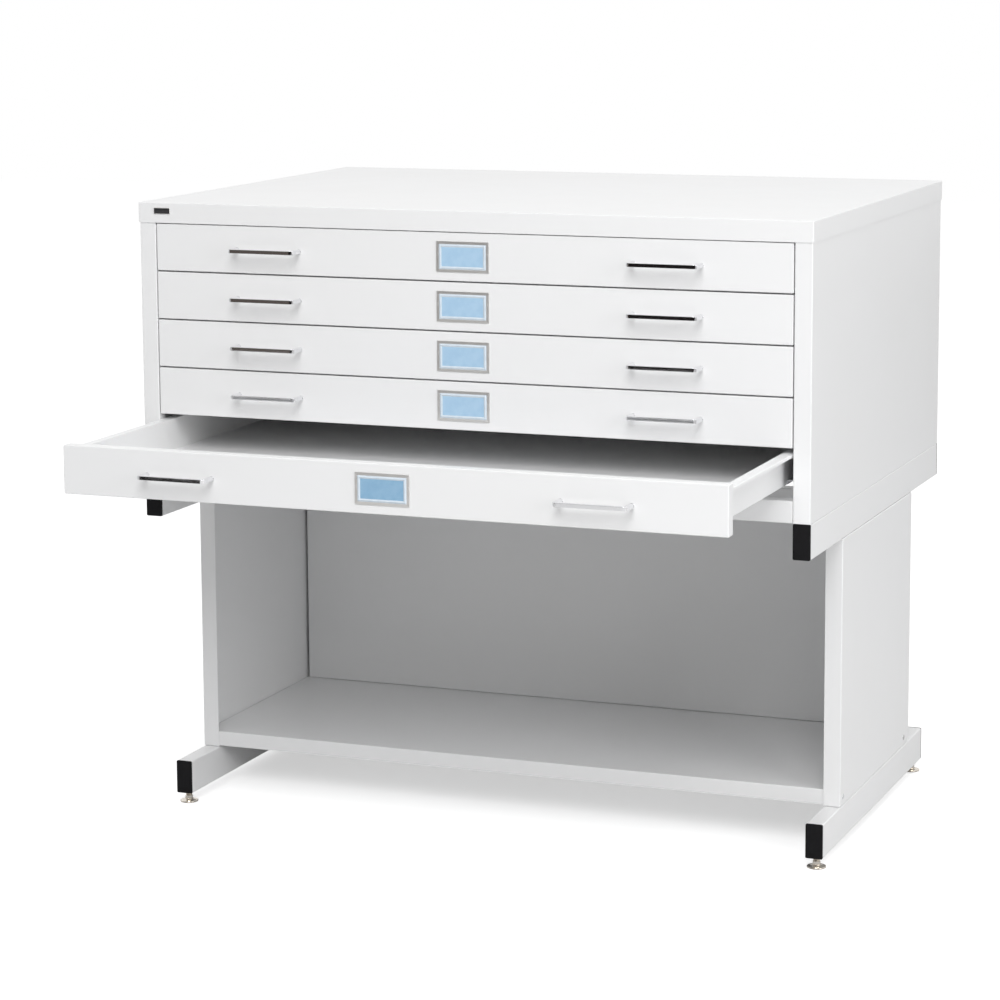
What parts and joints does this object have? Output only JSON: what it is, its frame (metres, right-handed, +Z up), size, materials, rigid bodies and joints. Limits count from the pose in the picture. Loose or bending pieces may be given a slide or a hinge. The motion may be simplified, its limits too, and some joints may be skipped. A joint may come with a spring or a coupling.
{
  "type": "flat file cabinet",
  "caption": "White steel flat file cabinet with shallow full-width drawers, bar pulls and label holders, on a high open base with a shelf, end panels and levelling feet.",
  "frame": {"origin": "centre of the footprint on the floor, with the lowest drawer standing open as stored", "axes": "+Z up out of the flat top, the drawers open towards -Y, +X to the right of a person facing them"},
  "size_m": [1.0284, 1.0704, 0.9335],
  "materials": {
    "white_enamel": "satin white baked enamel",
    "plated_runner": "dull zinc plate",
    "chrome": "bright chrome plate",
    "blue_card": "plain matte card",
    "black_plastic": "fine moulded black",
    "nickel": "nickel plate with a warm tone",
    "badge_finish": "blank dark enamel"
  },
  "bodies": {
    "cabinet": {"top_cap": "white_enamel", "badge_plate": "badge_finish", "case_side_left": "white_enamel", "case_side_right": "white_enamel", "case_back": "white_enamel", "front_sill": "white_enamel", "rear_sill": "white_enamel", "runner_frame_left": "plated_runner", "runner_frame_right": "plated_runner", "top_tube_left": "white_enamel", "top_tube_right": "white_enamel", "top_tube_plug_front_left": "black_plastic", "top_tube_plug_rear_left": "black_plastic", "top_tube_plug_front_right": "black_plastic", "top_tube_plug_rear_right": "black_plastic", "upright_left": "white_enamel", "upright_right": "white_enamel", "base_shelf": "white_enamel", "base_back": "white_enamel", "leg_tube_left": "white_enamel", "leg_tube_right": "white_enamel", "leg_plug_front_left": "black_plastic", "leg_plug_rear_left": "black_plastic", "leg_plug_front_right": "black_plastic", "leg_plug_rear_right": "black_plastic"},
    "drawer_1": {"drawer_1_tray": "white_enamel", "drawer_1_front": "white_enamel", "drawer_1_handle_left": "chrome", "drawer_1_handle_right": "chrome", "drawer_1_label_frame": "chrome", "drawer_1_label_card": "blue_card"},
    "drawer_2": {"drawer_2_tray": "white_enamel", "drawer_2_front": "white_enamel", "drawer_2_handle_left": "chrome", "drawer_2_handle_right": "chrome", "drawer_2_label_frame": "chrome", "drawer_2_label_card": "blue_card"},
    "drawer_3": {"drawer_3_tray": "white_enamel", "drawer_3_front": "white_enamel", "drawer_3_handle_left": "chrome", "drawer_3_handle_right": "chrome", "drawer_3_label_frame": "chrome", "drawer_3_label_card": "blue_card"},
    "drawer_4": {"drawer_4_tray": "white_enamel", "drawer_4_front": "white_enamel", "drawer_4_handle_left": "chrome", "drawer_4_handle_right": "chrome", "drawer_4_label_frame": "chrome", "drawer_4_label_card": "blue_card"},
    "drawer_5": {"drawer_5_tray": "white_enamel", "drawer_5_front": "white_enamel", "drawer_5_handle_left": "chrome", "drawer_5_handle_right": "chrome", "drawer_5_label_frame": "chrome", "drawer_5_label_card": "blue_card"},
    "foot_front_left": {"foot_front_left": "nickel"},
    "foot_front_right": {"foot_front_right": "nickel"},
    "foot_rear_left": {"foot_rear_left": "nickel"},
    "foot_rear_right": {"foot_rear_right": "nickel"}
  },
  "joints": [
    {"name": "drawer_1_slide", "type": "slide", "parent": "cabinet", "child": "drawer_1", "axis": [0, -1, 0], "range_m": [0, 0.5]},
    {"name": "drawer_2_slide", "type": "slide", "parent": "cabinet", "child": "drawer_2", "axis": [0, -1, 0], "range_m": [0, 0.5]},
    {"name": "drawer_3_slide", "type": "slide", "parent": "cabinet", "child": "drawer_3", "axis": [0, -1, 0], "range_m": [0, 0.5]},
    {"name": "drawer_4_slide", "type": "slide", "parent": "cabinet", "child": "drawer_4", "axis": [0, -1, 0], "range_m": [0, 0.5]},
    {"name": "drawer_5_slide", "type": "slide", "parent": "cabinet", "child": "drawer_5", "axis": [0, -1, 0], "range_m": [-0.2935, 0.2065]},
    {"name": "foot_front_left_screw", "type": "slide", "parent": "cabinet", "child": "foot_front_left", "axis": [0, 0, -1], "range_m": [-0.006, 0.012]},
    {"name": "foot_front_right_screw", "type": "slide", "parent": "cabinet", "child": "foot_front_right", "axis": [0, 0, -1], "range_m": [-0.006, 0.012]},
    {"name": "foot_rear_left_screw", "type": "slide", "parent": "cabinet", "child": "foot_rear_left", "axis": [0, 0, -1], "range_m": [-0.006, 0.012]},
    {"name": "foot_rear_right_screw", "type": "slide", "parent": "cabinet", "child": "foot_rear_right", "axis": [0, 0, -1], "range_m": [-0.006, 0.012]}
  ]
}
